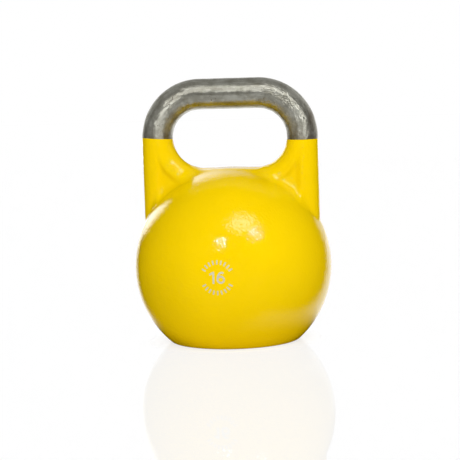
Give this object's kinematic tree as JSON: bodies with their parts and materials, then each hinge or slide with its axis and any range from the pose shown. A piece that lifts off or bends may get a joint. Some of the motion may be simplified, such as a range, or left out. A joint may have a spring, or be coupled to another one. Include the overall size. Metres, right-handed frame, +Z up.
{
  "type": "competition kettlebell",
  "caption": "Competition kettlebell: a hollow enamelled ball on a flat foot, with horns that carry a bare steel grip over a hand window.",
  "frame": {"origin": "on the floor, under the middle of the ball", "axes": "+X along the straight part of the grip, -Y out of the front with the weight mark, +Z up through the grip"},
  "size_m": [0.21, 0.21, 0.28],
  "materials": {
    "yellow_enamel": "gloss enamel with a slight orange peel",
    "bare_steel": "hand-ground, satin, uncoated",
    "mark_grey": "pad-printed pale grey weight mark",
    "plug_steel": "black oxide",
    "seal_fibre": "vulcanised fibre, matte",
    "bonded_shot": "iron shot set in resin"
  },
  "bodies": {
    "root": {"bell_shell": "yellow_enamel", "handle_grip": "bare_steel", "handle_welds": "yellow_enamel", "core_plate": "yellow_enamel", "plate_weld": "yellow_enamel", "plug_seal": "seal_fibre", "filler_plug": "plug_steel", "ballast": "bonded_shot"}
  },
  "joints": []
}
